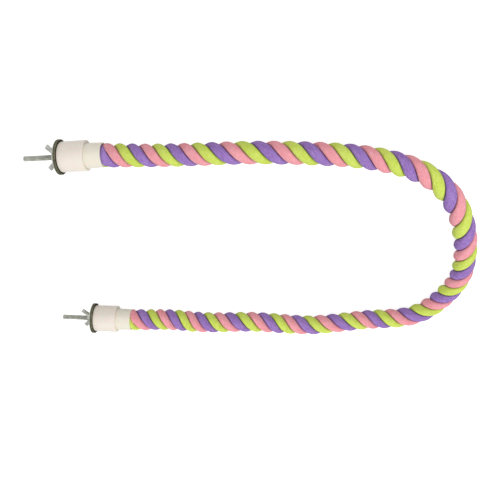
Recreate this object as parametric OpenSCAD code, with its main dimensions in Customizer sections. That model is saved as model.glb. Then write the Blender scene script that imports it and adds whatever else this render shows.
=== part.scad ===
// Bendable rope perch for a bird cage: three dyed cotton strands laid round a bending wire,
// with a plastic end fitting and a bolt, two clamping washers and a wing nut at each end.
// The perch lies flat, bent to a U. Its legs run about along X, the bolts point to -X, and +Z is up.
// Left and right are those of someone who stands at the bolts and looks along the legs.

/* [Rope] */
// Diameter over the three strands
rope_d = 25; // [20:0.5:28]
// Length in which a strand goes once round the rope
lay_length = 46; // [36:1:60]
// Radius of a strand's rounding towards the grooves at its two sides
strand_round = 5.3; // [3:0.1:6]
// Gap between two strands
strand_gap = 0.3; // [0.2:0.05:0.5]
// Diameter of the bending wire in the middle of the rope
wire_d = 4; // [2.5:0.5:5]
// Length in which the stiff rope comes down from a fitting to the surface it lies on
settle_length = 430; // [300:10:450]
// How far the end of each leg turns in towards the other leg
toe_in = 2.5; // [-5:0.5:5]

/* [Sleeve] */
// Outer diameter of the sleeve where it sits in the cap
sleeve_d = 27.2; // [26.6:0.1:30]
// Wall of the sleeve where it sits in the cap
sleeve_wall = 1.9; // [1.2:0.1:2.2]
// Length of the sleeve that shows
sleeve_show = 18.5; // [10:0.5:30]
// How much thinner the sleeve is at its mouth, on the diameter
sleeve_draft = 0.6; // [0:0.1:0.8]
// Rounding of the sleeve's mouth
mouth_round = 0.6; // [0.2:0.1:0.6]

/* [Cap] */
// Outer diameter of the cap at its open end
cap_d = 33.6; // [32:0.2:37]
// Length of the cap
cap_length = 29; // [24:0.5:40]
// Thickness of the cap's end wall
cap_end = 4.5; // [3:0.5:6]
// How much thinner the cap is at its closed end, on the diameter
cap_draft = 0.8; // [0:0.1:1.2]
// Rounding of the cap's two outer edges
cap_round = 0.9; // [0.4:0.1:1.2]

/* [Bolt] */
// Thread diameter of the bolt
bolt_d = 6; // [5:0.5:8]
// Length of the bolt under its head
bolt_length = 50; // [45:1:70]
// Width of the hexagon head across its flats
head_width = 10; // [8:0.5:13]
// Height of the hexagon head
head_height = 4; // [3:0.5:5]

/* [Washers] */
// Outer diameter of the two clamping washers
washer_d = 38; // [35:0.5:42]
// Thickness of one clamping washer
washer_t = 1.8; // [1.2:0.1:2.5]
// Play of the washers and the cap on the bolt, on the diameter
bolt_play = 0.6; // [0.3:0.1:1]
// How much smaller the washer under the bolt's head is than the sleeve, on the diameter
head_washer_step = 0.8; // [0.4:0.2:5]
// Thickness of the washer under the bolt's head
head_washer_t = 1.6; // [1:0.1:2.5]

/* [Wing nut] */
// Width over the two wings
wing_span = 30; // [26:1:36]
// Height of the wing nut over its wings
wing_height = 14.4; // [12:0.2:18]
// Diameter of the nut's base
hub_d = 12.4; // [11:0.2:14]
// Height of the nut's hub
hub_height = 7; // [5:0.5:9]
// Thickness of a wing
wing_t = 1.8; // [1.4:0.1:2.4]
// How far the left nut is turned
left_nut_turn = 25; // [-180:5:180]
// How far the right nut is turned
right_nut_turn = 8; // [-180:1:180]

/* [Inside the sleeve] */
// Length of rope that sits in a sleeve
rope_hold = 30; // [24:1:32]
// Length of the tape whipping round the rope's end
whipping_length = 10; // [6:1:14]
// Thickness of the tape whipping
whipping_t = 0.6; // [0.4:0.1:1]
// Length of bending wire that goes on into the resin
wire_tail = 4; // [2:0.5:5]

/* [Hidden] */
$fn = 96;

// The rope's route seen from above, from the left sleeve's mouth to the right one's
route = [
    [-135, 140], [-88, 138], [-39, 138], [6, 139], [46, 138], [87, 135], [126, 131], [157, 124],
    [186, 113], [209, 97], [225, 77], [236, 53], [242, 27], [246, -3], [245, -30], [243, -54],
    [233, -78], [220, -98], [207, -114], [191, -127], [173, -133], [151, -135], [129, -136],
    [109, -140], [85, -144], [63, -147], [40, -145], [16, -142], [-8, -139], [-35, -140], [-60, -141],
    [-86, -140], [-110, -135], [-137, -136], [-165, -137]
];
// Length of one turn of the lay, as a share of lay_length, against the share of the rope's length
lay_share = [
    [0, 0.89], [0.05, 0.9], [0.1, 0.94], [0.16, 1.09], [0.22, 1.03], [0.28, 0.99], [0.33, 1.02],
    [0.38, 1.37], [0.43, 1.42], [0.48, 1.24], [0.53, 1.06], [0.58, 1], [0.63, 1.16], [0.68, 0.87],
    [0.74, 1.03], [0.8, 0.9], [0.87, 0.92], [0.94, 0.78], [1, 0.77]
];
// How full the rope is, as a share of rope_d, against the share of the rope's length
full_share = [
    [0, 1.05], [0.05, 1], [0.15, 0.98], [0.25, 0.99], [0.35, 1], [0.4, 1.03], [0.45, 1.07],
    [0.5, 1.02], [0.55, 0.97], [0.6, 0.96], [0.65, 0.93], [0.72, 0.94], [0.77, 0.95], [0.82, 0.99],
    [0.87, 1.01], [0.92, 1.05], [1, 1.08]
];
// Where round the rope the purple strand stands at the left sleeve's mouth
lay_start = 46;
// Angle from each strand to the next
strand_step = 360 / 3;
// Rings of a strand for each turn, and rings of a strand for each ring of the wire
rings_per_turn = 10;
rings_per_wire_ring = 2;
// Points on the smooth route between two of the route's own points
steps = 10;
// Sides of the wire
wire_sides = 6;
// Points on the rounding of a strand's back, as shares of its arc from the flank to the back
round_share = [1, 0.68, 0.34, 0];
// Radius of a strand's fullest rounding, as a share of the rope's
fullest_share = 0.455;
// Angle of a strand's two inner corners, as a share of half its sector
inner_share = 0.95;

// Clearances: soft rope to what holds it, glued pieces to each other, the nut to its thread
soft_gap = 0.3;
glue_gap = 0.1;
thread_gap = 0.05;
// Overrun of cuts
cut = 1;

// Places along a fitting's axis, from the sleeve's mouth towards the bolt's tip
cap_from = sleeve_show;
cap_to = cap_from + cap_length;
cap_floor = cap_to - cap_end;
sleeve_length = cap_floor - head_washer_t;
head_from = sleeve_length - head_height;
resin_from = rope_hold + soft_gap;
whipping_from = rope_hold - whipping_length - glue_gap;
outer_washer_from = cap_to + washer_t;
nut_from = outer_washer_from + washer_t;

// Radii
rope_r = rope_d / 2;
wire_r = wire_d / 2;
bore_r = sleeve_d / 2 - sleeve_wall;
mouth_rope_r = min(rope_r, bore_r - soft_gap);
bound_rope_r = bore_r - glue_gap - whipping_t - soft_gap;
axis_height = washer_d / 2;
// Step to either side over which the rope's direction is taken
aim_step = rope_d / 80;

// The rope's centreline
function first(list) = list[0];
function last(list) = list[len(list) - 1];
lead = rope_hold + wire_tail;
left_lead = lead * [-cos(toe_in), -sin(toe_in)];
right_lead = lead * [-cos(toe_in), sin(toe_in)];
controls = concat(
    [first(route) + 2 * left_lead, first(route) + left_lead],
    route,
    [last(route) + right_lead, last(route) + 2 * right_lead]
);
function spline(p, i, t) = (
    (1 - t) ^ 3 * p[i - 1] + (3 * t ^ 3 - 6 * t ^ 2 + 4) * p[i]
    + (-3 * t ^ 3 + 3 * t ^ 2 + 3 * t + 1) * p[i + 1] + t ^ 3 * p[i + 2]
) / 6;
plan = [
    for (i = [1 : len(controls) - 3]) for (k = [0 : steps - 1]) spline(controls, i, k / steps),
    spline(controls, len(controls) - 3, 1)
];
function run_step(i) = i < len(plan) ? norm(plan[i] - plan[i - 1]) : 0;
run = [for (i = 0, s = 0; i < len(plan); i = i + 1, s = s + run_step(i)) s];
plan_x = [for (i = [0 : len(plan) - 1]) [run[i], plan[i][0]]];
plan_y = [for (i = [0 : len(plan) - 1]) [run[i], plan[i][1]]];
left_mouth = norm(first(route) - first(plan));
right_mouth = last(run) - norm(last(route) - last(plan));
rope_from = left_mouth - rope_hold;
rope_to = right_mouth + rope_hold;
echo(rope_between_sleeves = right_mouth - left_mouth, rope_in_all = rope_to - rope_from);

function smooth(t) = let (c = max(0, min(1, t))) c * c * (3 - 2 * c);
// Depth in the nearer sleeve, which is below zero outside
function depth(s) = max(left_mouth - s, s - right_mouth);
// Share of the rope's length between the sleeves, and the rope's radius there
function share_at(s) = (s - left_mouth) / (right_mouth - left_mouth);
function full_r(s) = rope_r * lookup(share_at(s), full_share);
function height(s) = axis_height + (full_r(s) - axis_height) * smooth(-depth(s) / settle_length);
function centre(s) = [lookup(s, plan_x), lookup(s, plan_y), height(s)];
function along(s) = let (d = centre(s + aim_step) - centre(s - aim_step)) d / norm(d);
function side(s) = let (c = cross([0, 0, 1], along(s))) c / norm(c);
function ray(angle) = [cos(angle), sin(angle)];
// A point beside the centreline. At angle 0 its first coordinate points to the side of the leg, and
// at 90 to its top.
function beside(s, point, angle) = let (
        across = point * ray(-angle),
        up = point * ray(90 - angle)
    )
    centre(s) + across * side(s) + up * cross(along(s), side(s));

// The lay: how many turns a strand has made at each point of the smooth route
function lay(s) = lay_length * lookup(share_at(s), lay_share);
function turn_step(i) = i < len(run) ? (run[i] - run[i - 1]) / lay(run[i]) : 0;
turns = [for (i = 0, t = 0; i < len(run); i = i + 1, t = t + turn_step(i)) t];
turns_at_run = [for (i = [0 : len(run) - 1]) [run[i], turns[i]]];
run_at_turns = [for (i = [0 : len(run) - 1]) [turns[i], run[i]]];
function turned(s) = 360 * (lookup(s, turns_at_run) - lookup(left_mouth, turns_at_run)) + lay_start;
ring_count = ceil((turned(rope_to) - turned(rope_from)) / 360 * rings_per_turn);
// Rings lie at even steps of turn, so that they line up round the rope
first_turn = lookup(rope_from, turns_at_run);
last_turn = lookup(rope_to, turns_at_run);
function station(share) = lookup(first_turn + (last_turn - first_turn) * share, run_at_turns);

// The bundle's radius: full outside, narrower in the sleeve and narrowest under the whipping
function bundle_r(s) = let (d = depth(s)) (
    mouth_rope_r + (full_r(s) - mouth_rope_r) * smooth(-d / sleeve_wall / 3)
    + (bound_rope_r - mouth_rope_r) * smooth(2 * d / whipping_from)
);

// One strand's section, which fills a third of the rope: a round back between two flat flanks
half_sector = strand_step / 2;
heart_r = wire_r + soft_gap;
function half_section(r, hand) = let (
        round_r = min(strand_round, fullest_share * r),
        round_centre = r - round_r,
        turn = half_sector - asin((round_r + strand_gap / 2) / round_centre),
        arc = half_sector + 90 - turn
    )
    [for (a = round_share) round_centre * ray(hand * turn) + round_r * ray(hand * (turn + a * arc))];
function section(r) = let (
        inner_angle = inner_share * half_sector,
        inner_r = heart_r / cos(inner_angle),
        far_half = half_section(r, 1)
    )
    concat(
        half_section(r, -1),
        [for (i = [len(far_half) - 1 : -1 : 0]) far_half[i]],
        [inner_r * ray(inner_angle), inner_r * ray(-inner_angle)]
    );
back_points = 2 * len(round_share);
function ring(s, angle) = [for (p = section(bundle_r(s))) beside(s, p, angle)];

// Skin of a run of rings of n points. The flank's diagonals match those of the next strand's flank.
function skin(n, rings, flipped) = [
    for (i = [0 : rings - 2]) for (j = [0 : n - 1])
        let (a = i * n + j, b = i * n + (j + 1) % n, c = a + n, d = b + n)
        each (j >= flipped && j < n - 1 ? [[a, b, d], [a, d, c]] : [[a, b, c], [b, d, c]])
];
module swept(rings, flipped) {
    n = len(rings[0]);
    polyhedron(
        points = [for (r = rings) each r],
        faces = [
            for (f = skin(n, len(rings), flipped)) [f[2], f[1], f[0]],
            [for (j = [0 : n - 1]) j],
            [for (j = [n - 1 : -1 : 0]) (len(rings) - 1) * n + j]
        ]
    );
}
module strand(number) {
    rings = [
        for (i = [0 : ring_count])
            let (s = station(i / ring_count)) ring(s, turned(s) - number * strand_step)
    ];
    swept(rings, back_points - 1);
}

module strand_purple() color("#9A73C2") strand(0);
module strand_pink() color("#F097A5") strand(1);
module strand_lime() color("#C8DE55") strand(2);

// The bending wire runs through the middle and ends in the resin at both ends
module core_wire() color("#A9ABA6") {
    rings = ceil(ring_count / rings_per_wire_ring);
    wire_from = rope_from - wire_tail;
    wire_to = rope_to + wire_tail;
    swept([
        for (i = [0 : rings])
            let (s = wire_from + (wire_to - wire_from) * i / rings)
            [for (k = [0 : wire_sides - 1]) beside(s, [wire_r, 0], 360 * k / wire_sides)]
    ], 0);
}

// Points of a rounded outer corner of a turned profile, where each edge runs along an axis
corner_steps = 4;
function round_corner(r, z, size, from) = [
    for (k = [0 : corner_steps]) let (a = from + 90 * k / corner_steps)
        [r - size + size * cos(a), z + size * sin(a)]
];

// Pieces of one fitting, on +Z, with the sleeve's mouth at zero
module sleeve() color("#E6E0CF") {
    seat_r = sleeve_d / 2;
    mouth_r = seat_r - sleeve_draft / 2;
    rotate_extrude() polygon(concat(
        [[bore_r, sleeve_length], [bore_r, mouth_round], [bore_r + mouth_round / 2, 0]],
        round_corner(mouth_r, mouth_round, mouth_round, -90),
        [[seat_r, cap_from], [seat_r, sleeve_length]]
    ));
}
module cap() color("#E5DDD3") {
    open_r = cap_d / 2;
    closed_r = open_r - cap_draft / 2;
    seat_r = sleeve_d / 2 + glue_gap;
    difference() {
        rotate_extrude() polygon(concat(
            [[0, cap_floor], [seat_r, cap_floor], [seat_r, cap_from + cap_round]],
            [[seat_r + cap_round / 2, cap_from]],
            round_corner(open_r, cap_from + cap_round, cap_round, -90),
            round_corner(closed_r, cap_to - cap_round, cap_round, 0),
            [[0, cap_to]]
        ));
        translate([0, 0, cap_floor - cut])
            cylinder(d = bolt_d + bolt_play, h = cap_end + 2 * cut);
    }
}
module bolt() color("#B4B6AE") {
    tip = bolt_d / 7;
    translate([0, 0, head_from])
        cylinder(d = head_width / cos(30), h = head_height, $fn = 6);
    translate([0, 0, sleeve_length])
        cylinder(d = bolt_d, h = bolt_length - tip);
    translate([0, 0, sleeve_length + bolt_length - tip])
        cylinder(d1 = bolt_d, d2 = bolt_d - 2 * tip, h = tip);
}
module head_washer() color("#A2A49C") {
    translate([0, 0, sleeve_length])
        difference() {
            cylinder(d = sleeve_d - head_washer_step, h = head_washer_t);
            translate([0, 0, -cut])
                cylinder(d = bolt_d + bolt_play, h = head_washer_t + 2 * cut);
        }
}
module resin_plug() color("#D9C88F") {
    difference() {
        translate([0, 0, resin_from])
            cylinder(r = bore_r - glue_gap, h = sleeve_length - resin_from);
        translate([0, 0, head_from - glue_gap])
            cylinder(d = (head_width + 2 * glue_gap) / cos(30), h = head_height + cut, $fn = 6);
        translate([0, 0, resin_from - cut])
            cylinder(r = wire_r + soft_gap, h = wire_tail + cut);
    }
}
module whipping() color("#F2EFE6") {
    translate([0, 0, whipping_from])
        difference() {
            cylinder(r = bore_r - glue_gap, h = whipping_length);
            translate([0, 0, -cut])
                cylinder(r = bore_r - glue_gap - whipping_t, h = whipping_length + 2 * cut);
        }
}
module clamping_washer() color("#8C8E7C") {
    edge = washer_t / 4;
    r = washer_d / 2;
    rotate_extrude() polygon([
        [bolt_d / 2 + bolt_play / 2, 0], [r - edge, 0], [r, edge],
        [r, washer_t - edge], [r - edge, washer_t], [bolt_d / 2 + bolt_play / 2, washer_t]
    ]);
}
module inner_washer() {
    translate([0, 0, cap_to]) clamping_washer();
}
module outer_washer() {
    translate([0, 0, outer_washer_from]) clamping_washer();
}
// Outline of one wing: shares of half the span, and of the nut's height
wing_share = [
    [0.27, 0.08], [0.4, 0.13], [0.96, 0.68], [1, 0.74], [0.72, 0.98], [0.66, 1], [0.31, 0.52], [0.27, 0.47]
];
module wing_nut(turn) color("#C9CCC6") {
    bore = bolt_d / 2 + thread_gap;
    base_r = hub_d / 2;
    rim = hub_height / 6;
    translate([0, 0, nut_from]) rotate([0, 0, turn]) difference() {
        union() {
            rotate_extrude() polygon([
                [0, 0], [base_r - rim / 2, 0], [base_r, rim / 2], [base_r, rim],
                [base_r * 0.78, hub_height - rim / 2], [base_r * 0.7, hub_height], [0, hub_height]
            ]);
            for (half = [0, 180])
                rotate([0, 0, half]) translate([0, wing_t / 2, 0]) rotate([90, 0, 0])
                    linear_extrude(wing_t)
                        polygon([for (p = wing_share) [p[0] * wing_span / 2, p[1] * wing_height]]);
        }
        translate([0, 0, -cut]) cylinder(r = bore, h = wing_height + 2 * cut);
    }
}

// A fitting's own axis turned to its leg's end, at the mouth of the left or the right sleeve
module at_mouth(mouth, turn) {
    translate([mouth[0], mouth[1], axis_height])
        rotate([0, 0, turn]) rotate([0, -90, 0]) rotate([0, 0, 90])
            children();
}
module at_left() at_mouth(first(route), toe_in) children();
module at_right() at_mouth(last(route), -toe_in) children();
module left_sleeve() at_left() sleeve();
module left_cap() at_left() cap();
module left_bolt() at_left() bolt();
module left_head_washer() at_left() head_washer();
module left_resin_plug() at_left() resin_plug();
module left_whipping() at_left() whipping();
module left_inner_washer() at_left() inner_washer();
module left_outer_washer() at_left() outer_washer();
module left_wing_nut() at_left() wing_nut(left_nut_turn);
module right_sleeve() at_right() sleeve();
module right_cap() at_right() cap();
module right_bolt() at_right() bolt();
module right_head_washer() at_right() head_washer();
module right_resin_plug() at_right() resin_plug();
module right_whipping() at_right() whipping();
module right_inner_washer() at_right() inner_washer();
module right_outer_washer() at_right() outer_washer();
module right_wing_nut() at_right() wing_nut(right_nut_turn);

strand_purple();
strand_pink();
strand_lime();
core_wire();
left_sleeve();
left_cap();
left_bolt();
left_head_washer();
left_resin_plug();
left_whipping();
left_inner_washer();
left_outer_washer();
left_wing_nut();
right_sleeve();
right_cap();
right_bolt();
right_head_washer();
right_resin_plug();
right_whipping();
right_inner_washer();
right_outer_washer();
right_wing_nut();
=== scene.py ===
# %% [markdown]
# # A bendable rope perch
# This lesson dresses the imported model of a bird perch: three dyed cotton strands laid round a bending
# wire, and at each end a plastic fitting with a bolt, two clamping washers and a wing nut.
# The frame comes from the CAD side. Its nodes keep their places, and everything made here is placed in
# the same frame, in metres.

# %% The frame
import math

import bpy
import numpy as np
from mathutils import Euler, Matrix, Vector


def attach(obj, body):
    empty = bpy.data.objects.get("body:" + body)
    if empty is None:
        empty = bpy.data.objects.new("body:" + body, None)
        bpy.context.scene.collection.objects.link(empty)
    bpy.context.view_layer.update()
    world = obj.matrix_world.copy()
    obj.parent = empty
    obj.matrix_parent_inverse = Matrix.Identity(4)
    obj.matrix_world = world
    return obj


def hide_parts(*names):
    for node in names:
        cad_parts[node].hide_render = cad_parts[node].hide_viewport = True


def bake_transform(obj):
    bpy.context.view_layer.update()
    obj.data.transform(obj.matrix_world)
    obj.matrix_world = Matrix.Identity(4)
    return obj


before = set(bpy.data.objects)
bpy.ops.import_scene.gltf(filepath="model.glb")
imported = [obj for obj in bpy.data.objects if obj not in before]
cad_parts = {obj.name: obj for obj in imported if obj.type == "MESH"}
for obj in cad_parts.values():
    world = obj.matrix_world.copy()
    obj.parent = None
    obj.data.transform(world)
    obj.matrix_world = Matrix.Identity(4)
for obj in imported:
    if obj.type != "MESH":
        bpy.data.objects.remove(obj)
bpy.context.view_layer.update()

MM = 0.001
FULL_TURN = 2 * math.pi


# %% [markdown]
# # The camera
# The photograph looks down on the perch from the side of its upper leg, with the camera held upside
# down to it, so that leg is at the top. A lens of 68 mm on a 36 mm sensor gives the same perspective.

# %% The camera
camera_data = bpy.data.cameras.new("camera")
camera_data.sensor_width = 36
camera_data.lens = 68.4
camera = bpy.data.objects.new("camera", camera_data)
camera.location = (0.1918, 0.7751, 0.7529)
camera.rotation_euler = Euler([math.radians(a) for a in (-47.213, 6.934, -7.137)])
bpy.context.scene.collection.objects.link(camera)
bpy.context.scene.camera = camera
print("lens", round(camera_data.lens, 1), "mm, place", [round(c, 3) for c in camera.location])


# %% [markdown]
# # Expressions instead of boxes and wires
# Materials and Geometry Nodes are both graphs of small nodes. Placing each Math node by hand hides the
# formula, so one class wraps a socket and lets Python's own signs add the Math nodes. Any other node
# comes from one method, which takes its type, its settings and what goes into its sockets. A material
# starts as a graph with one shader, and its constants stand on the shader itself.

# %% Sockets that can be calculated with
class Wire:
    """An output socket that can stand in a formula."""

    def __init__(self, graph, socket):
        self.graph, self.socket = graph, socket

    def __getitem__(self, name):
        return Wire(self.graph, self.socket.node.outputs[name])

    def math(self, operation, *others):
        return self.graph.add("ShaderNodeMath", {"operation": operation}, dict(enumerate((self, *others))))

    def __add__(self, other): return self.math("ADD", other)
    def __radd__(self, other): return self.math("ADD", other)
    def __sub__(self, other): return self.math("SUBTRACT", other)
    def __rsub__(self, other): return self.graph.number(other).math("SUBTRACT", self)
    def __mul__(self, other): return self.math("MULTIPLY", other)
    def __rmul__(self, other): return self.math("MULTIPLY", other)
    def __truediv__(self, other): return self.math("DIVIDE", other)
    def __rtruediv__(self, other): return self.graph.number(other).math("DIVIDE", self)
    def __pow__(self, other): return self.math("POWER", other)
    def __neg__(self): return self.math("MULTIPLY", -1)
    def __gt__(self, other): return self.math("GREATER_THAN", other)
    def __lt__(self, other): return self.math("LESS_THAN", other)
    def sin(self): return self.math("SINE")
    def cos(self): return self.math("COSINE")
    def floor(self): return self.math("FLOOR")
    def fract(self): return self.math("FRACT")
    def abs(self): return self.math("ABSOLUTE")
    def max(self, other): return self.math("MAXIMUM", other)
    def min(self, other): return self.math("MINIMUM", other)
    def soft_max(self, other, reach): return self.math("SMOOTH_MAX", other, reach)
    def soft_min(self, other, reach): return self.math("SMOOTH_MIN", other, reach)


class Graph:
    """A node tree that is written as formulas."""

    def __init__(self, tree):
        self.tree = tree

    def fill(self, node, inputs):
        """Every input named gets its value, or a link from a wire."""
        for key, value in inputs.items():
            if isinstance(value, Wire):
                self.tree.links.new(value.socket, node.inputs[key])
            else:
                node.inputs[key].default_value = value

    def add(self, kind, settings=None, inputs=None, output=0):
        node = self.tree.nodes.new(kind)
        for name, value in (settings or {}).items():
            setattr(node, name, value)
        self.fill(node, inputs or {})
        return Wire(self, node.outputs[output]) if len(node.outputs) else node

    def number(self, value):
        return self.add("ShaderNodeMath", {"operation": "ADD"}, {0: value, 1: 0.0})

    def vector(self, operation, *values, output=0):
        return self.add("ShaderNodeVectorMath", {"operation": operation}, dict(enumerate(values)), output)

    def scaled(self, vector, size):
        return self.add("ShaderNodeVectorMath", {"operation": "SCALE"}, {"Vector": vector, "Scale": size})

    def mix(self, factor, first, second):
        return self.add("ShaderNodeMix", {"data_type": "RGBA"}, {0: factor, 6: first, 7: second}, 2)

    def between(self, value, low, high, to_low=0.0, to_high=1.0):
        """value from low to high, mapped smoothly to the two results."""
        return self.add(
            "ShaderNodeMapRange", {"interpolation_type": "SMOOTHSTEP"},
            {0: value, 1: low, 2: high, 3: to_low, 4: to_high},
        )

    def split(self, vector):
        parts = self.add("ShaderNodeSeparateXYZ", {}, {0: vector})
        return parts["X"], parts["Y"], parts["Z"]

    def join(self, x, y, z=0.0):
        return self.add("ShaderNodeCombineXYZ", {}, {"X": x, "Y": y, "Z": z})

    def noise(self, coords, scale, detail, **more):
        inputs = {"Vector": coords, "Scale": scale, "Detail": detail, **more}
        return self.add("ShaderNodeTexNoise", {}, inputs)

    def bump(self, height, strength, distance):
        return self.add("ShaderNodeBump", {}, {"Strength": strength, "Distance": distance, "Height": height})

    def object_place(self):
        return self.add("ShaderNodeTexCoord")["Object"]

    def kept(self, name):
        """The value that a tree has left on the mesh under that name."""
        return self.add("ShaderNodeAttribute", {"attribute_name": name})["Fac"]


def new_material(name):
    """A material with its graph and its shader."""
    material = bpy.data.materials.new(name)
    material.use_nodes = True
    g = Graph(material.node_tree)
    return material, g, g.tree.nodes["Principled BSDF"]


# %% [markdown]
# # The studio
# The photograph is a cut-out on white, lit softly from above the plane that the perch lies in. A white
# floor takes the object's own soft shadow. For the camera it glows just enough to read as white, and
# the world does the same, so no light has to be turned up for it. Two broad lamps shape the rope: the
# key stands beyond the bend, and the fill lights the sides that face the camera.

# %% Floor, world and lamps
FLOOR_SIZE = 6.0
FLOOR_GAP = 0.5 * MM
FLOOR_TONE = (0.5, 0.5, 0.5, 1)
FLOOR_GLOW = 0.8
SKY_LIGHT = 0.64
LAMPS_AIM = Vector((0.05, 0, 0))


def mesh_object(name, points, edges=(), faces=()):
    mesh = bpy.data.meshes.new(name)
    mesh.from_pydata([tuple(p) for p in points], list(edges), list(faces))
    made = bpy.data.objects.new(name, mesh)
    bpy.context.scene.collection.objects.link(made)
    return made


def seen(g):
    """1 for what the camera sees, straight, mirrored or through something, and 0 for light on a surface."""
    path = g.add("ShaderNodeLightPath")
    return path["Is Camera Ray"].max(path["Is Glossy Ray"]).max(path["Is Transmission Ray"])


floor_white, g, shader = new_material("floor_white")
g.fill(shader, {"Base Color": FLOOR_TONE, "Roughness": 1.0, "Specular IOR Level": 0.0,
                "Emission Color": seen(g), "Emission Strength": FLOOR_GLOW})
half = FLOOR_SIZE / 2
corners = [(-half, -half, 0), (half, -half, 0), (half, half, 0), (-half, half, 0)]
floor = mesh_object("floor", corners, faces=[(0, 1, 2, 3)])
floor.data.materials.append(floor_white)
floor.location.z = -FLOOR_GAP

world = bpy.data.worlds.new("studio")
world.use_nodes = True
sky = Graph(world.node_tree)
sky.fill(sky.tree.nodes["Background"], {"Color": SKY_LIGHT + (1 - SKY_LIGHT) * seen(sky), "Strength": 1.0})
bpy.context.scene.world = world


def soft_lamp(name, place, size, watts):
    data = bpy.data.lights.new(name, "AREA")
    data.shape, data.size, data.energy = "DISK", size, watts
    lamp = bpy.data.objects.new(name, data)
    lamp.location = place
    lamp.rotation_euler = (LAMPS_AIM - Vector(place)).to_track_quat("-Z", "Y").to_euler()
    bpy.context.scene.collection.objects.link(lamp)
    print("lamp", name, watts, "W")


soft_lamp("key", (1.05, -0.8, 2.4), 1.4, 39)
soft_lamp("fill", (0.3, 2.4, 1.6), 1.5, 27)
bpy.context.scene.view_settings.view_transform = "Standard"


# %% [markdown]
# # The rope's route
# The rope is a stiff cord of fixed length. It leaves the left sleeve, runs along the left leg, turns
# round the bend and goes into the right sleeve. Its centreline repeats the points of the part's own
# route, with the same smooth curve along them, and comes down from the height of the fittings to lie
# on the floor.

# %% The centreline, as in the part's source
# points on the floor plan, from the left sleeve's mouth to the right one's
route = np.array([
    (-135, 140), (-88, 138), (-39, 138), (6, 139), (46, 138), (87, 135), (126, 131), (157, 124),
    (186, 113), (209, 97), (225, 77), (236, 53), (242, 27), (246, -3), (245, -30), (243, -54),
    (233, -78), (220, -98), (207, -114), (191, -127), (173, -133), (151, -135), (129, -136),
    (109, -140), (85, -144), (63, -147), (40, -145), (16, -142), (-8, -139), (-35, -140), (-60, -141),
    (-86, -140), (-110, -135), (-137, -136), (-165, -137),
]) * MM
# how long a turn of the lay is, as a share of LAY_LENGTH, against the share of the rope's length
lay_shares = np.array([
    (0, 0.89), (0.05, 0.9), (0.1, 0.94), (0.16, 1.09), (0.22, 1.03), (0.28, 0.99), (0.33, 1.02),
    (0.38, 1.37), (0.43, 1.42), (0.48, 1.24), (0.53, 1.06), (0.58, 1), (0.63, 1.16), (0.68, 0.87),
    (0.74, 1.03), (0.8, 0.9), (0.87, 0.92), (0.94, 0.78), (1, 0.77),
])
# how full the rope is, as a share of its radius, against the share of the rope's length
full_shares = np.array([
    (0, 1.05), (0.05, 1), (0.15, 0.98), (0.25, 0.99), (0.35, 1), (0.4, 1.03), (0.45, 1.07),
    (0.5, 1.02), (0.55, 0.97), (0.6, 0.96), (0.65, 0.93), (0.72, 0.94), (0.77, 0.95), (0.82, 0.99),
    (0.87, 1.01), (0.92, 1.05), (1, 1.08),
])
ROPE_R = 12.5 * MM
AXIS_HEIGHT = 19 * MM
LAY_LENGTH = 46 * MM
LAY_START = math.radians(46)
LEFT_BACK_TURN = math.radians(7)
RIGHT_BACK_TURN = math.radians(26)
BACK_TURN_LENGTH = 28 * MM
PRESSED_LENGTH = 8 * MM
TOE_IN = math.radians(2.5)
SETTLE_LENGTH = 430 * MM
ROPE_HOLD = 30 * MM
WIRE_TAIL = 4 * MM
MOUTH_SWELL = 2 * MM
MOUTH_ROPE_R = 11.4 * MM
BOUND_ROPE_R = 10.7 * MM
WHIPPING_FROM = 19.9 * MM
SPLINE_STEPS = 10

left_way = np.array((-math.cos(TOE_IN), -math.sin(TOE_IN)))
right_way = np.array((-math.cos(TOE_IN), math.sin(TOE_IN)))
lead = ROPE_HOLD + WIRE_TAIL
controls = np.vstack((
    route[0] + 2 * lead * left_way, route[0] + lead * left_way, route,
    route[-1] + lead * right_way, route[-1] + 2 * lead * right_way,
))


def spline(p, i, t):
    """A point of the smooth curve along the points p, between the points i and i + 1."""
    return (
        (1 - t) ** 3 * p[i - 1] + (3 * t**3 - 6 * t**2 + 4) * p[i]
        + (-3 * t**3 + 3 * t**2 + 3 * t + 1) * p[i + 1] + t**3 * p[i + 2]
    ) / 6


spans = range(1, len(controls) - 2)
plan = np.array([spline(controls, i, k / SPLINE_STEPS) for i in spans for k in range(SPLINE_STEPS)]
                + [spline(controls, len(controls) - 3, 1)])
run = np.concatenate(([0], np.cumsum(np.linalg.norm(np.diff(plan, axis=0), axis=1))))
LEFT_MOUTH = np.linalg.norm(route[0] - plan[0])
RIGHT_MOUTH = run[-1] - np.linalg.norm(route[-1] - plan[-1])
rope_from, rope_to = LEFT_MOUTH - ROPE_HOLD, RIGHT_MOUTH + ROPE_HOLD
print("rope between the sleeves", RIGHT_MOUTH - LEFT_MOUTH)


def smooth(t):
    """From 0 to 1, with a soft start and end."""
    c = np.clip(t, 0, 1)
    return c * c * (3 - 2 * c)


def depth(s):
    """How far inside the nearer sleeve a place along the rope is, below 0 between the sleeves."""
    return np.maximum(LEFT_MOUTH - s, s - RIGHT_MOUTH)


def share_at(s):
    return (s - LEFT_MOUTH) / (RIGHT_MOUTH - LEFT_MOUTH)


def full_r(s):
    """Radius of the rope where nothing holds it, which is a little uneven as in the photograph."""
    return ROPE_R * np.interp(share_at(s), *full_shares.T)


def centre(s):
    height = AXIS_HEIGHT + (full_r(s) - AXIS_HEIGHT) * smooth(-depth(s) / SETTLE_LENGTH)
    return np.stack((np.interp(s, run, plan[:, 0]), np.interp(s, run, plan[:, 1]), height), -1)


lay = LAY_LENGTH * np.interp(share_at(run), *lay_shares.T)
turns = np.concatenate(([0], np.cumsum(np.diff(run) / lay[1:])))


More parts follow.
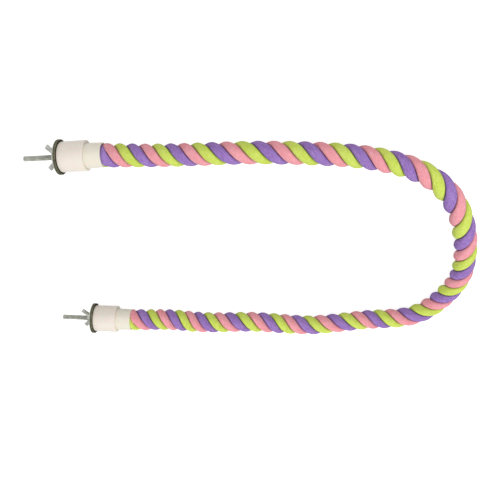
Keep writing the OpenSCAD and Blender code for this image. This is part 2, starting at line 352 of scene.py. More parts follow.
def turned(s):
    """Angle of the purple strand round the rope. Near a sleeve the strands are turned back a little."""
    settled = FULL_TURN * (np.interp(s, run, turns) - np.interp(LEFT_MOUTH, run, turns)) + LAY_START
    left = LEFT_BACK_TURN * smooth(1 - (s - LEFT_MOUTH) / BACK_TURN_LENGTH)
    right = RIGHT_BACK_TURN * smooth(1 - (RIGHT_MOUTH - s) / BACK_TURN_LENGTH)
    return settled - left - right


def pressed(s):
    """How far the strands are pressed into one round bundle, from 0 on the free rope to 1 in a sleeve."""
    return smooth(1 + depth(s) / PRESSED_LENGTH)


def bundle_r(s):
    """Radius of the rope: free, at the sleeve's mouth, and bound by the tape inside."""
    d = depth(s)
    return (
        MOUTH_ROPE_R + (full_r(s) - MOUTH_ROPE_R) * smooth(-d / MOUTH_SWELL)
        + (BOUND_ROPE_R - MOUTH_ROPE_R) * smooth(2 * d / WHIPPING_FROM)
    )


# %% [markdown]
# # Three laid strands
# Each strand is a long soft body with the section of a third of the rope: a round back and two flanks
# that press on its neighbours. It winds round the rope once in about 46 mm. Its own yarns are twisted
# the other way, so they lie nearly along the rope. A curve with a round bevel can't give that section,
# and modelling it by hand isn't possible, but the rule is simple: every point is a point of the
# section, turned by the lay and carried along the centreline. That is a small Geometry Nodes tree.
# The columns of its mesh run with the yarns, so each yarn is a real ridge. At the sleeves the round
# backs are pressed flat against the bore, and the strands are turned back a little, as they are in the
# photograph.

# %% A rail for the tree, and the section of one strand
RAIL_STEP = 1 * MM
rail_s = np.linspace(rope_from, rope_to, int(round((rope_to - rope_from) / RAIL_STEP)) + 1)
rail = mesh_object("rail", centre(rail_s), [(i, i + 1) for i in range(len(rail_s) - 1)])
for name, rule in (("turn", turned), ("bundle", bundle_r), ("pressed", pressed)):
    attribute = rail.data.attributes.new(name, "FLOAT", "POINT")
    attribute.data.foreach_set("value", rule(rail_s).astype(np.float32))

BACK_ROUND = 8.2 * MM
EDGE_ROUND = 2.3 * MM
STRAND_GAP = 0.3 * MM
HEART_R = 2.3 * MM
HEART_SHARE = 0.95
HALF_SECTOR = math.radians(60)
BACK_STEPS = 14
EDGE_STEPS = 8


def strand_section():
    """The closed outline of a strand at the rope's full radius, with the rope's middle at the origin."""
    middle = ROPE_R - BACK_ROUND
    reach = BACK_ROUND - EDGE_ROUND
    over = math.asin((EDGE_ROUND + STRAND_GAP / 2 - middle * math.sin(HALF_SECTOR)) / reach)
    shoulder = HALF_SECTOR - over
    edge_x = middle + reach * math.cos(shoulder)
    edge_y = reach * math.sin(shoulder)
    half = []
    for a in np.linspace(HALF_SECTOR + math.pi / 2, shoulder, EDGE_STEPS + 1)[:-1]:
        half.append((edge_x + EDGE_ROUND * math.cos(a), edge_y + EDGE_ROUND * math.sin(a)))
    for a in np.linspace(shoulder, 0, BACK_STEPS + 1)[:-1]:
        half.append((middle + BACK_ROUND * math.cos(a), BACK_ROUND * math.sin(a)))
    upper = [(HEART_R, HEART_SHARE * HEART_R * math.tan(HEART_SHARE * HALF_SECTOR))] + half
    return [(x, y, 0) for x, y in upper] + [(ROPE_R, 0, 0)] + [(x, -y, 0) for x, y in reversed(upper)]


outline = strand_section()
section = mesh_object("strand_section", outline, [(i, (i + 1) % len(outline)) for i in range(len(outline))])
print("section points", len(outline), "rail points", len(rail_s))


# %% The tree that lays a strand
def new_tree(name, numbers, other):
    """The graph of a Geometry Nodes tree with named inputs, and the node that gives their wires."""
    tree = bpy.data.node_groups.new(name, "GeometryNodeTree")
    tree.interface.new_socket("Geometry", in_out="INPUT", socket_type="NodeSocketGeometry")
    tree.interface.new_socket("Geometry", in_out="OUTPUT", socket_type="NodeSocketGeometry")
    for label, value in numbers.items():
        kind = "NodeSocketInt" if isinstance(value, int) else "NodeSocketFloat"
        tree.interface.new_socket(label, in_out="INPUT", socket_type=kind).default_value = value
    for label, kind in other:
        tree.interface.new_socket(label, in_out="INPUT", socket_type=kind)
    g = Graph(tree)
    return g, g.add("NodeGroupInput")


def finish_tree(g, given, geometry):
    """The end of every tree: one real mesh in its material."""
    solid = g.add("GeometryNodeRealizeInstances", {}, {"Geometry": geometry})
    dressed = g.add("GeometryNodeSetMaterial", {}, {"Geometry": solid, "Material": given["Material"]})
    g.add("NodeGroupOutput", {}, {"Geometry": dressed})


def run_tree(obj, g, values):
    """The plain mesh that the tree makes of obj. The tree is taken off obj again."""
    modifier = obj.modifiers.new(g.tree.name, "NODES")
    modifier.node_group = g.tree
    for item in g.tree.interface.items_tree:
        if item.in_out == "INPUT" and item.name in values:
            modifier[item.identifier] = values[item.name]
    evaluated = obj.evaluated_get(bpy.context.evaluated_depsgraph_get())
    mesh = bpy.data.meshes.new_from_object(evaluated)
    obj.modifiers.remove(modifier)
    mesh.shade_smooth()
    return mesh


YARNS = 24
COLUMNS_PER_YARN = 4
PRESSED_FROM, PRESSED_TO = 0.5, 0.7
SWELLS_PER_METRE, SWELL_CHANGE = 60.0, 0.35
strand_inputs = {
    "Columns": COLUMNS_PER_YARN * YARNS, "Rings": 1000, "Strand Angle": 0.0,
    "Yarn Height": 0.16 * MM, "Yarn Twist": -0.85, "Softness": 0.3 * MM, "Seed": 0.0,
}
g, given = new_tree("laid_strand", strand_inputs,
                    [("Section", "NodeSocketObject"), ("Material", "NodeSocketMaterial")])
rings, columns = given["Rings"], given["Columns"]
tube = g.add("GeometryNodeMeshCylinder", {"fill_type": "NGON"},
             {"Vertices": columns, "Side Segments": rings - 1, "Radius": 1.0, "Depth": 1.0})
index = g.add("GeometryNodeInputIndex")
ring = (index / columns + 0.5 / columns).floor()
column = index - ring * columns
share = ring / (rings - 1)

rail_curve = g.add("GeometryNodeMeshToCurve", {}, {"Mesh": given["Geometry"]})
sampling = {"mode": "FACTOR", "use_all_curves": False, "data_type": "FLOAT"}


def rail_value(name):
    value = g.add("GeometryNodeInputNamedAttribute", {"data_type": "FLOAT"}, {"Name": name})
    return g.add("GeometryNodeSampleCurve", sampling, {"Curves": rail_curve, "Value": value, "Factor": share})


turn_sample, bundle_sample, pressed_sample = (rail_value(name) for name in ("turn", "bundle", "pressed"))
place, tangent = turn_sample["Position"], turn_sample["Tangent"]
side = g.vector("NORMALIZE", g.vector("CROSS_PRODUCT", (0, 0, 1), tangent))
above = g.vector("CROSS_PRODUCT", tangent, side)

# the section, with the columns running round it as the yarns do
section_mesh = g.add("GeometryNodeObjectInfo", {"transform_space": "ORIGINAL"},
                     {"Object": given["Section"]}, "Geometry")
section_curve = g.add("GeometryNodeMeshToCurve", {}, {"Mesh": section_mesh})
turn = turn_sample["Value"]
around = (column / columns + given["Yarn Twist"] * turn / FULL_TURN).fract()
free = g.add("GeometryNodeSampleCurve", sampling, {"Curves": section_curve, "Factor": around})["Position"]

# in a sleeve the round backs are pressed flat against the bore
free_share = g.vector("LENGTH", free, output=1) / ROPE_R
filling = pressed_sample["Value"] * g.between(free_share, PRESSED_FROM, PRESSED_TO) * (1 / free_share - 1)
flat = g.scaled(free, filling + 1)

# the ridge of each yarn, and a soft uneven swelling
ridge = (column * (FULL_TURN / COLUMNS_PER_YARN)).cos() * -0.5 + 0.5
wander = g.add("ShaderNodeTexNoise", {"noise_dimensions": "4D"},
               {"Vector": place, "W": given["Seed"] + turn * SWELL_CHANGE,
                "Scale": SWELLS_PER_METRE, "Detail": 2.0})
puff = given["Yarn Height"] * (ridge - 1) + given["Softness"] * (wander - 0.5)
outward = g.vector("NORMALIZE", g.vector("SUBTRACT", flat, (ROPE_R - BACK_ROUND, 0, 0)))
shaped = g.vector("ADD", flat, g.scaled(outward, puff))
size = bundle_sample["Value"] / ROPE_R
x, y, _ = g.split(g.scaled(shaped, size))
angle = turn + given["Strand Angle"]
across = x * angle.cos() - y * angle.sin()
up = x * angle.sin() + y * angle.cos()
target = g.vector("ADD", place, g.vector("ADD", g.scaled(side, across), g.scaled(above, up)))
moved = g.add("GeometryNodeSetPosition", {}, {"Geometry": tube["Mesh"], "Position": target})


def keep(geometry, name, value, domain="POINT", kind="FLOAT"):
    return g.add("GeometryNodeStoreNamedAttribute", {"data_type": kind, "domain": domain},
                 {"Geometry": geometry, "Name": name, "Value": value})


# how far out a point of the skin lies, from 0 at the rope's middle to 1 on the back
out_share = g.vector("LENGTH", flat, output=1) / ROPE_R
kept = keep(moved, "crown", out_share)
# the map goes from 0 to 1 round the strand; the faces that close a ring end at 1, and not back at 0
corner = column / columns
face_mean = g.add("GeometryNodeFieldOnDomain", {"data_type": "FLOAT", "domain": "FACE"}, {0: corner})
wrapped = corner + (face_mean > 0.3) * (corner < 0.5 / columns)
kept = keep(kept, "yarn_map", g.join(wrapped, share), "CORNER", "FLOAT2")
finish_tree(g, given, kept)
strand_tree = g
print("tree of a strand:", len(g.tree.nodes), "nodes")


# %% [markdown]
# # Dyed cotton
# Soft spun cotton has no gloss. What shows is its twist: fine fibres and longer tufts that run with the
# yarns, uneven lighter and darker places in the dye, and deep shade where two strands meet. That shade,
# and the shade in the hollows between the yarns, is painted into the colour. A picture of cloth would
# repeat along a metre of rope, so the tones are worked out on the strand's own map, which goes round
# the strand in its first direction and along it in the second.

# %% The cotton material
TUFTS_ROUND, TUFTS_ALONG = 24.0, 560.0
FIBRES_ROUND, FIBRES_ALONG = 60.0, 220.0
GROOVE_FROM, GROOVE_TO = 0.62, 0.9
GROOVE_SHADE = 0.35


def cotton(name, colour, shade, pale):
    """Cotton of one dye, with a darker and a paler tone of its fibres, which also paint shade and light
    across each yarn.
    """
    material, g, shader = new_material(name)
    round_it, along, _ = g.split(g.add("ShaderNodeUVMap", {"uv_map": "yarn_map"}))
    ridge = (round_it * (FULL_TURN * YARNS)).cos() * -0.5 + 0.5
    mottle = g.noise(g.object_place(), 90.0, 3.0)
    speckle = g.noise(g.join(round_it * TUFTS_ROUND, along * TUFTS_ALONG), 1.0, 2.0)
    fibres = g.noise(g.join(round_it * FIBRES_ROUND, along * FIBRES_ALONG), 4.0, 4.0, Roughness=0.7)
    # painted shade and light: the ridge term darkens the hollows between the yarns and lightens their crests;
    # the other terms are uneven dye
    tone = 0.4 * ridge + 1.1 * (fibres - 0.5) + 0.6 * (mottle - 0.5) + 3.4 * (speckle - 0.5) + 0.3
    base = g.mix((tone * 2).max(0).min(1), shade, colour)
    base = g.mix((tone * 2 - 1).max(0).min(1), base, pale)
    # painted shade in the creases where two strands meet, a darker and fuller tone of the dye
    groove = g.between(g.kept("crown"), GROOVE_FROM, GROOVE_TO, 1.0, 0.0)
    base = g.mix(groove, base, [GROOVE_SHADE * c**1.5 for c in colour[:3]] + [1])
    g.fill(shader, {"Base Color": base, "Normal": g.bump(ridge * 0.5 + fibres * 0.7, 0.5, 0.6 * MM),
                    "Roughness": 0.95, "Specular IOR Level": 0.15, "Sheen Weight": 0.08})
    return material


cottons = {
    "strand_purple": cotton(
        "cotton_purple", (0.3, 0.165, 0.48, 1), shade=(0.21, 0.1, 0.38, 1), pale=(0.42, 0.28, 0.61, 1)),
    "strand_pink": cotton(
        "cotton_pink", (0.83, 0.325, 0.36, 1), shade=(0.73, 0.215, 0.255, 1), pale=(0.86, 0.45, 0.5, 1)),
    "strand_lime": cotton(
        "cotton_lime", (0.585, 0.715, 0.098, 1), shade=(0.43, 0.56, 0.05, 1), pale=(0.7, 0.79, 0.22, 1)),
}
print("dyes", [material.name for material in cottons.values()])


# %% [markdown]
# # From tree to strands
# One tree makes all three strands. Each becomes a plain mesh that runs along the left leg up to the
# bend, round it and along the right leg.

# %% The three strands
HELIX_R = 7.2 * MM


def strand_path(angle):
    """The middle line of the strand that starts at that angle."""
    points = centre(rail_s)
    tangents = np.gradient(points, axis=0)
    tangents /= np.linalg.norm(tangents, axis=1, keepdims=True)
    sides = np.cross((0, 0, 1), tangents)
    sides /= np.linalg.norm(sides, axis=1, keepdims=True)
    aboves = np.cross(tangents, sides)
    turn = (turned(rail_s) + angle)[:, None]
    size = (bundle_r(rail_s) / ROPE_R)[:, None]
    return points + HELIX_R * size * (np.cos(turn) * sides + np.sin(turn) * aboves)


for number, (node, material) in enumerate(cottons.items()):
    angle = -number * FULL_TURN / 3
    sizes = {**strand_inputs, "Strand Angle": angle, "Seed": float(number)}
    mesh = run_tree(rail, strand_tree, {**sizes, "Section": section, "Material": material})
    strand = bpy.data.objects.new("rope_" + node, mesh)
    bpy.context.scene.collection.objects.link(strand)
    path = strand_path(angle)
    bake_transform(strand)
    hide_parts(node)
    "cotton_" + node.split("_")[1]


# %% [markdown]
# # The bending wire
# An annealed wire of 4 mm in the rope's middle keeps any bend that the rope is given. It is drawn
# through a die, so its section is round. It takes the same rail as the strands, 4 mm longer at both
# ends where it stands in the resin.

# %% The wire
def finished(name, mesh, body, node):
    """A piece made of a mesh in place. It stands for a node of the frame, and may ride one of its bodies."""
    piece = bpy.data.objects.new(name, mesh)
    bpy.context.scene.collection.objects.link(piece)
    if body:
        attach(piece, body)
    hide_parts(node)
    return piece


def metal(name, light, dark, grain, rough, ring=None, thread_shade=None):
    """Zinc plating in patches of two tones, with fine grain. ring is the tone of a ring on a face, with
    its two radii, the face's height and how far from that it fades out. The last argument is the tone of
    shade painted into the grooves of a thread."""
    material, g, shader = new_material(name)
    place = g.object_place()
    patches = g.noise(place, grain, 5.0, Roughness=0.65)
    base = g.mix(g.between(patches, 0.36, 0.64), dark, light)
    if ring:
        tone, inner, outer, height, fade = ring
        out = g.kept("outward")
        flat = g.between(out, inner, inner + 0.4 * MM) * g.between(out, outer, outer + 0.6 * MM, 1.0, 0.0)
        off = (g.kept("along") - height).abs()
        base = g.mix(flat * g.between(off, 0.6 * fade, fade, 1.0, 0.0), base, tone)
    # painted shade in the grooves of the thread
    if thread_shade:
        base = g.mix(g.kept("groove") * 0.5, base, thread_shade)
    g.fill(shader, {"Base Color": base, "Roughness": rough + 0.2 * (patches - 0.5),
                    "Normal": g.bump(g.noise(place, 2600.0, 2.0), 0.25, 0.1 * MM),
                    "Metallic": 0.8, "Specular Tint": (0.2, 0.2, 0.2, 1)})
    return material


WIRE_R = 2 * MM
WIRE_POINTS = 500
wire_s = np.linspace(rope_from - WIRE_TAIL, rope_to + WIRE_TAIL, WIRE_POINTS)
wire_rail = mesh_object("wire_rail", centre(wire_s), [(i, i + 1) for i in range(len(wire_s) - 1)])
wire_inputs = {"Wire Radius": WIRE_R, "Sides": 16}
g, given = new_tree("drawn_wire", wire_inputs, [("Material", "NodeSocketMaterial")])
wire_curve = g.add("GeometryNodeMeshToCurve", {}, {"Mesh": given["Geometry"]})
die = g.add("GeometryNodeCurvePrimitiveCircle", {"mode": "RADIUS"},
            {"Resolution": given["Sides"], "Radius": given["Wire Radius"]}, "Curve")
drawn = g.add("GeometryNodeCurveToMesh", {}, {"Curve": wire_curve, "Profile Curve": die, "Fill Caps": True})
finish_tree(g, given, drawn)
wire_zinc = metal("wire_zinc", (0.5, 0.51, 0.49, 1), (0.34, 0.35, 0.33, 1), 400.0, 0.5)
wire_mesh = run_tree(wire_rail, g, {**wire_inputs, "Material": wire_zinc})
wire = finished("bending_wire", wire_mesh, None, "core_wire")
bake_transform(wire)
print("wire triangles", 2 * len(wire_mesh.polygons))

for helper in (rail, section, wire_rail):
    bpy.data.objects.remove(helper)


# %% [markdown]
# # Turned and moulded pieces
# The sleeve, the cap, the bolt and the washers are all bodies of revolution: pipe, a moulding made in
# a turned mould, rolled bar and punched rings. One Geometry Nodes tree spins a profile for all of
# them. Where a profile is wider than the flats of a hexagon, the tree cuts it back to the flats, which
# makes the bolt's head with its chamfered corners. A helical groove of 1 mm pitch makes the thread.

# %% Profiles with rounded corners
CORNER_STEPS = 5


def rounded(corners, closed=True):
    """Points of a profile. A corner is its radius, place along the axis and rounding, in millimetres."""
    count = len(corners)
    points = []
    for i, (r, z, size) in enumerate(corners):
        corner = np.array((r, z))
        if size == 0 or (not closed and i in (0, count - 1)):
            points.append(corner)
            continue
        before = np.array(corners[i - 1][:2]) - corner
        after = np.array(corners[(i + 1) % count][:2]) - corner
        start = corner + before / np.linalg.norm(before) * size
        end = corner + after / np.linalg.norm(after) * size
        for t in np.linspace(0, 1, CORNER_STEPS):
            points.append((1 - t) ** 2 * start + 2 * t * (1 - t) * corner + t**2 * end)
    if closed:
        points.append(points[0])
    return [(p[0] * MM, 0, p[1] * MM) for p in points]


SLEEVE_SHOW, CAP_TO, CAP_FLOOR = 18.5, 47.5, 43
SLEEVE_LENGTH = 41.4
HEAD_FROM, TIP = 37.4, 91.4
WASHER_T = 1.8
BOLT_R, HEAD_HALF = 3, 5.77
THREAD_FROM, THREAD_TO, THREAD_STEP = 43.5, 90.5, 0.125

sleeve_profile = rounded([
    (11.7, SLEEVE_LENGTH, 0.2), (13.6, SLEEVE_LENGTH, 0.4), (13.6, SLEEVE_SHOW, 0),
    (13.3, 0, 0.6), (11.7, 0, 0.5),
])
cap_profile = rounded([
    (3.3, CAP_FLOOR, 0.1), (3.3, CAP_TO, 0.3), (16.4, CAP_TO, 1.0), (16.8, SLEEVE_SHOW, 0.9),
    (13.7, SLEEVE_SHOW, 0.5), (13.7, CAP_FLOOR, 0.4),
])
washer_profile = rounded([
    (3.3, 0, 0.1), (3.3, WASHER_T, 0.35), (19, WASHER_T, 0.7), (19, 0, 0.25),
])
thread_rings = np.arange(THREAD_FROM - 1, TIP - 0.9, THREAD_STEP)
bolt_profile = (
    rounded([
        (0, TIP, 0), (2.3, TIP, 0.15), (BOLT_R, TIP - 0.8, 0),
    ], closed=False)
    + [(BOLT_R * MM, 0, z * MM) for z in thread_rings[::-1]]
    + rounded([
        (BOLT_R, SLEEVE_LENGTH + 0.4, 0), (3.3, SLEEVE_LENGTH, 0.1), (5.6, SLEEVE_LENGTH, 0.1),
        (HEAD_HALF, SLEEVE_LENGTH - 0.3, 0), (HEAD_HALF, HEAD_FROM + 0.6, 0.1), (4.8, HEAD_FROM, 0.2),
        (0, HEAD_FROM, 0),
    ], closed=False)
)
print("profile points", len(sleeve_profile), len(cap_profile), len(washer_profile), len(bolt_profile))


# %% The tree that spins a profile
MERGE_WITHIN = 0.001 * MM
SHARP_OVER = math.radians(38)
turned_inputs = {
    "Sides": 120, "Rings": 10, "Half Flats": 1.0, "Pitch": 1 * MM, "Thread Depth": 0.0,
    "Thread From": 0.0, "Thread To": 0.0,
}
g, given = new_tree("turned_piece", turned_inputs, [("Material", "NodeSocketMaterial")])
sides, rings = given["Sides"], given["Rings"]
tube = g.add("GeometryNodeMeshCylinder", {"fill_type": "NONE"},
             {"Vertices": sides, "Side Segments": rings - 1, "Radius": 1.0, "Depth": 1.0})
index = g.add("GeometryNodeInputIndex")
ring = (index / sides + 0.5 / sides).floor()
share = (index - ring * sides) / sides
angle = share * FULL_TURN
here = g.add("GeometryNodeInputPosition")
point = g.add("GeometryNodeSampleIndex", {"data_type": "FLOAT_VECTOR", "domain": "POINT"},
              {"Geometry": given["Geometry"], "Value": here, "Index": ring})
radius, _, along = g.split(point)

# the flats of a hexagon
sixth = (share * 6).fract() - 0.5
flat_r = given["Half Flats"] / (sixth * (math.pi / 3)).cos()
radius = radius.min(flat_r)

# the thread, which runs out softly at both ends
wave = ((along / given["Pitch"] - share).fract() * 2 - 1).abs()
groove = (wave * 1.3 - 0.2).max(0).min(1)
held = (g.between(along, given["Thread From"], given["Thread From"] + 1 * MM)
        * g.between(along, given["Thread To"] - 1 * MM, given["Thread To"], 1.0, 0.0))
radius = radius - given["Thread Depth"] * groove * held

target = g.join(radius * angle.cos(), radius * angle.sin(), along)
kept = g.add("GeometryNodeSetPosition", {}, {"Geometry": tube["Mesh"], "Position": target})
marks = {"outward": radius, "along": along, "beside": angle.sin(), "groove": groove * held}
for name, value in marks.items():
    kept = keep(kept, name, value)
closed = g.add("GeometryNodeMergeByDistance", {}, {"Geometry": kept, "Distance": MERGE_WITHIN})
finish_tree(g, given, closed)
turned_tree = g
print("tree of a turned piece:", len(g.tree.nodes), "nodes")


def signed_volume(mesh):
    """The volume that the mesh encloses, which is positive where its faces look outward."""
    mesh.calc_loop_triangles()
    points = np.empty(len(mesh.vertices) * 3, np.float32)
    mesh.vertices.foreach_get("co", points)
    corners = np.empty(len(mesh.loop_triangles) * 3, np.int32)
    mesh.loop_triangles.foreach_get("vertices", corners)
    a, b, c = points.reshape(-1, 3)[corners.reshape(-1, 3)].astype(float).transpose(1, 0, 2)
    return float((np.cross(a, b) * c).sum() / 6)


def report(name, mesh, unit):
    triangles = sum(len(face.vertices) - 2 for face in mesh.polygons)
    print(name, "has", triangles, "triangles and", round(signed_volume(mesh) / unit**3), "mm3")


def spun(profile, material, **sizes):
    """A mesh spun from a profile, with its height along z."""
    spine = mesh_object("profile", profile)
    values = {**turned_inputs, "Rings": len(profile), "Material": material, **sizes}
    mesh = run_tree(spine, turned_tree, values)
    mesh.set_sharp_from_angle(angle=SHARP_OVER)
    bpy.data.objects.remove(spine)
    return mesh


# %% [markdown]
# # Finishes of the fittings
# The sleeve is cut from cream pipe and the cap is moulded of a slightly pinker plastic. Both are
# satin: their skin scatters a little light inside, and handling has left it faintly uneven. A mould
# in two halves leaves a fine parting line along the cap. Bolt and nut are bright zinc, with shade
# painted into the bolt's thread, while the punched washers have gone olive grey. The outer one has a
# painted highlight along the edge of its outer face, and the inner one has a brown ring where it meets
# the cap, which is dirt and painted contact shade. The trees have left each point's radius and height
# on the meshes, so a ring or a line sits at its own radius and height.

# %% Plastic and zinc
def plastic(name, colour, stain, seam):
    """Moulded plastic with cloudy stains. seam is 1 with a parting line and 0 without."""
    material, g, shader = new_material(name)
    place = g.object_place()
    cloud = g.noise(place, 45.0, 3.0)
    mark = g.between(g.kept("beside").abs(), 0.004, 0.012, seam, 0.0)
    base = g.mix(g.between(cloud, 0.35, 0.75, 0.0, 0.5), colour, stain)
    g.fill(shader, {"Base Color": g.mix(mark * 0.3, base, stain),
                    "Normal": g.bump(g.noise(place, 1500.0, 2.0) * 0.3 + mark, 0.4, 0.1 * MM),
                    "Roughness": 0.42 + 0.15 * (cloud - 0.5),
                    "Subsurface Weight": 0.15, "Subsurface Scale": 2 * MM})
    return material


OLIVE, DULL_OLIVE = (0.15, 0.15, 0.1, 1), (0.092, 0.09, 0.058, 1)
# a brown ring's tone: dirt and painted contact shade
# a dark tone: painted shade in a thread
# a pale tone: a painted highlight on a washer's rim
DIRT_AND_CONTACT_SHADE, RIM_HIGHLIGHT, THREAD_SHADE = (0.045, 0.03, 0.025, 1), (0.62, 0.64, 0.58, 1), (0.12, 0.12, 0.1, 1)
cream_pipe = plastic("cream_pipe", (0.72, 0.68, 0.575, 1), (0.66, 0.61, 0.49, 1), 0.0)
rosy_cap = plastic("rosy_cap", (0.75, 0.685, 0.61, 1), (0.7, 0.625, 0.54, 1), 1.0)
bright_zinc = metal("bright_zinc", (0.64, 0.65, 0.59, 1), (0.47, 0.48, 0.43, 1), 260.0, 0.36, thread_shade=THREAD_SHADE)
nut_zinc = metal("nut_zinc", (0.53, 0.54, 0.5, 1), (0.3, 0.31, 0.28, 1), 300.0, 0.4)
# the inner washer: a brown ring next to the cap, which is dirt and painted contact shade
olive_zinc = metal("olive_zinc", OLIVE, DULL_OLIVE, 220.0, 0.5,
                   ring=(DIRT_AND_CONTACT_SHADE, 15.5 * MM, 17.3 * MM, 0, 0.5 * MM))
# the outer washer: a painted highlight along the edge of its outer face
rim_highlight_zinc = metal("rim_highlight_zinc", OLIVE, DULL_OLIVE, 220.0, 0.5,
                    ring=(RIM_HIGHLIGHT, 18 * MM, 20 * MM, WASHER_T * MM, 0.9 * MM))
print("finishes", [m.name for m in (cream_pipe, rosy_cap, bright_zinc, nut_zinc, olive_zinc, rim_highlight_zinc)])


# %% [markdown]
# # The wing nut
# A wing nut is cast or pressed in one piece, so its two ears grow out of the hub in soft fillets and
# no edge is sharp. Bevelling a union of solids doesn't give that. A distance field does: the hub and
# the ears are formulas, their soft minimum makes the fillet, and the field is turned to a mesh.

# %% The tree that casts a wing nut
# in millimetres; the corners of an ear, as distance from the bolt's axis and height
EAR = [(4.0, 1.2), (6.0, 1.87), (14.4, 9.8), (15.0, 10.66),
       (10.8, 14.1), (9.9, 14.4), (4.65, 7.5), (4.0, 6.8)]
EAR_THICK_TO, EAR_THIN_FROM = 4.0, 10.0
BORE_CHAMFER, SEAT = 0.5, 0.02
LOW, HIGH = (-16, -7, -0.5), (16, 7, 15.5)
nut_inputs = {
    "Hub Radius": 6.2, "Hub Top Radius": 4.4, "Hub Height": 7.0, "Base Height": 1.2, "Bore Radius": 3.05,
    "Ear Thickness": 1.8, "Ear Root": 2.6, "Fillet": 1.6, "Edge": 0.7,
    "Cells Across": 200, "Cells Deep": 90, "Cells High": 100,
}
g, given = new_tree("cast_wing_nut", nut_inputs, [("Material", "NodeSocketMaterial")])
x, y, z = g.split(g.add("GeometryNodeInputPosition"))
x, y = x.abs(), y.abs()
out = (x * x + y * y) ** 0.5
rise = ((z - given["Base Height"]) / (given["Hub Height"] - given["Base Height"])).max(0)
hub_r = given["Hub Radius"] + (given["Hub Top Radius"] - given["Hub Radius"]) * rise
hub = (out - hub_r).soft_max(z - given["Hub Height"], given["Edge"])
ear = None
for (x0, z0), (x1, z1) in zip(EAR, EAR[1:] + EAR[:1]):
    long = math.hypot(x1 - x0, z1 - z0)
    nx, nz = (z1 - z0) / long, -(x1 - x0) / long
    side = x * nx + z * nz - (x0 * nx + z0 * nz)
    ear = side if ear is None else ear.soft_max(side, given["Edge"])
root = g.between(x, EAR_THICK_TO, EAR_THIN_FROM, 1.0, 0.0)
half_thick = 0.5 * (given["Ear Thickness"] + (given["Ear Root"] - given["Ear Thickness"]) * root)
ear = ear.soft_max(y - half_thick, given["Edge"])
cast = hub.soft_min(ear, given["Fillet"])
bore = (given["Bore Radius"] + (BORE_CHAMFER - z).max(0)) - out
field = cast.max(bore).max(SEAT - z)
cells = {"X": "Cells Across", "Y": "Cells Deep", "Z": "Cells High"}
volume = g.add("GeometryNodeVolumeCube", {}, {
    "Density": -field, "Background": -10.0, "Min": LOW, "Max": HIGH,
    **{"Resolution " + axis: given[name] for axis, name in cells.items()},
})
cast_mesh = g.add("GeometryNodeVolumeToMesh", {"resolution_mode": "GRID"},
                  {"Volume": volume, "Threshold": 0.0, "Adaptivity": 0.0})
finish_tree(g, given, cast_mesh)

seed = mesh_object("nut_seed", [(0, 0, 0)])
nut_mesh = run_tree(seed, g, {**nut_inputs, "Material": nut_zinc})
bpy.data.objects.remove(seed)
report("wing nut", nut_mesh, 1)


# %% [markdown]
# # Two fittings
# Both ends hold the same pieces. What is glued or clamped to the sleeve moves with its end of the
# rope. The outer washer slides on the bolt and the wing nut turns on it.

# %% The fittings in place
NUT_FROM = (CAP_TO + 2 * WASHER_T) * MM


def at_mouth(place, turn):
    """From a piece's own frame, with its height along z, to a sleeve's mouth with z along the bolt."""
    return (Matrix.Translation((place[0], place[1], AXIS_HEIGHT)) @ Matrix.Rotation(turn, 4, "Z")
            @ Matrix.Rotation(math.radians(-90), 4, "Y") @ Matrix.Rotation(math.radians(90), 4, "Z"))


meshes = {
    "sleeve": spun(sleeve_profile, cream_pipe),
    "cap": spun(cap_profile, rosy_cap),
    "bolt": spun(bolt_profile, bright_zinc, **{
        "Sides": 72, "Half Flats": 5 * MM, "Thread Depth": 0.55 * MM,
        "Thread From": THREAD_FROM * MM, "Thread To": THREAD_TO * MM}),
    "inner washer": spun(washer_profile, olive_zinc),
    "outer washer": spun(washer_profile, rim_highlight_zinc),
}
for name, mesh in meshes.items():
    report(name, mesh, MM)

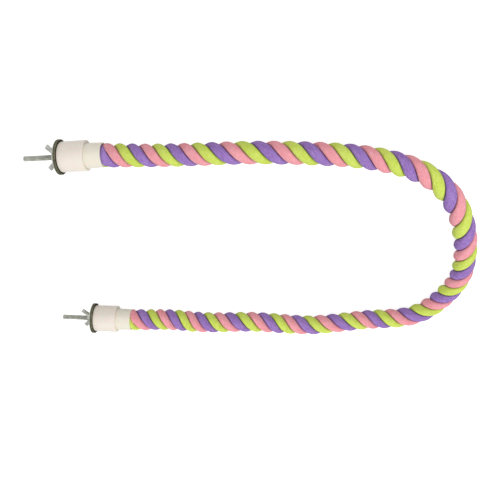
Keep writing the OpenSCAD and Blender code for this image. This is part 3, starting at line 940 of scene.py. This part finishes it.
# each end's place, the body of its glued pieces and how far its nut is turned
ends = {
    "left": (at_mouth(route[0], TOE_IN), "perch", math.radians(25)),
    "right": (at_mouth(route[-1], -TOE_IN), "right_end", math.radians(8)),
}
for side, (end, body, nut_turn) in ends.items():
    pieces = {
        "sleeve": ("sleeve", 0, body, "sleeve_plastic"),
        "cap": ("cap", 0, body, "cap_plastic"),
        "bolt": ("bolt", 0, body, "bolt_zinc"),
        "inner_washer": ("inner washer", CAP_TO * MM, body, "washer_steel"),
        "outer_washer": ("outer washer", (CAP_TO + WASHER_T) * MM, side + "_washer", "washer_steel"),
    }
    for piece, (kind, height, rides, slot) in pieces.items():
        mesh = meshes[kind].copy()
        mesh.transform(end @ Matrix.Translation((0, 0, height)))
        finished(side + "_" + piece + "_piece", mesh, rides, side + "_" + piece)
    mesh = nut_mesh.copy()
    seat = end @ Matrix.Translation((0, 0, NUT_FROM)) @ Matrix.Rotation(nut_turn, 4, "Z")
    mesh.transform(seat @ Matrix.Scale(MM, 4))
    finished(side + "_wing_nut_piece", mesh, side + "_nut", side + "_wing_nut")


# %% [markdown]
# # Inside the caps
# Three pieces of each end are hidden: the washer under the bolt's head, the resin that holds the head
# and the end of the wire, and the tape round the rope's end. Nothing of their shape would show more
# finely, so they stay as the CAD model has them and only get their finish. The resin is poured and
# honey-coloured, with fine bubbles. The tape is woven of flat threads.

# %% Resin, tape and head washers
TAPE_THREAD = 1.2 * MM


def cured_resin():
    material, g, shader = new_material("honey_resin")
    place = g.object_place()
    base = g.mix(g.noise(place, 120.0, 2.0), (0.62, 0.48, 0.19, 1), (0.74, 0.64, 0.33, 1))
    bubbles = g.add("ShaderNodeTexVoronoi", {}, {"Vector": place, "Scale": 700.0})
    base = g.mix(g.between(bubbles, 0.1, 0.2, 0.5, 0.0), base, (0.85, 0.8, 0.6, 1))
    g.fill(shader, {"Base Color": base, "Roughness": 0.15,
                    "Subsurface Weight": 0.3, "Subsurface Scale": 3 * MM})
    return material


def cloth_tape():
    material, g, shader = new_material("cloth_tape")
    along, _, height = g.split(g.object_place())
    thread = FULL_TURN / TAPE_THREAD
    weave = (along * thread).sin() * (height * thread).sin() * 0.5 + 0.5
    g.fill(shader, {"Base Color": g.mix(weave, (0.74, 0.71, 0.64, 1), (0.88, 0.86, 0.79, 1)),
                    "Normal": g.bump(weave, 0.4, 0.3 * MM), "Roughness": 0.9})
    return material


inside = {"head_washer": olive_zinc, "resin_plug": cured_resin(), "whipping": cloth_tape()}
for side in ends:
    for piece, material in inside.items():
        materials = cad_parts[side + "_" + piece].data.materials
        materials.clear()
        materials.append(material)
        print(side, piece, "dressed in", material.name)
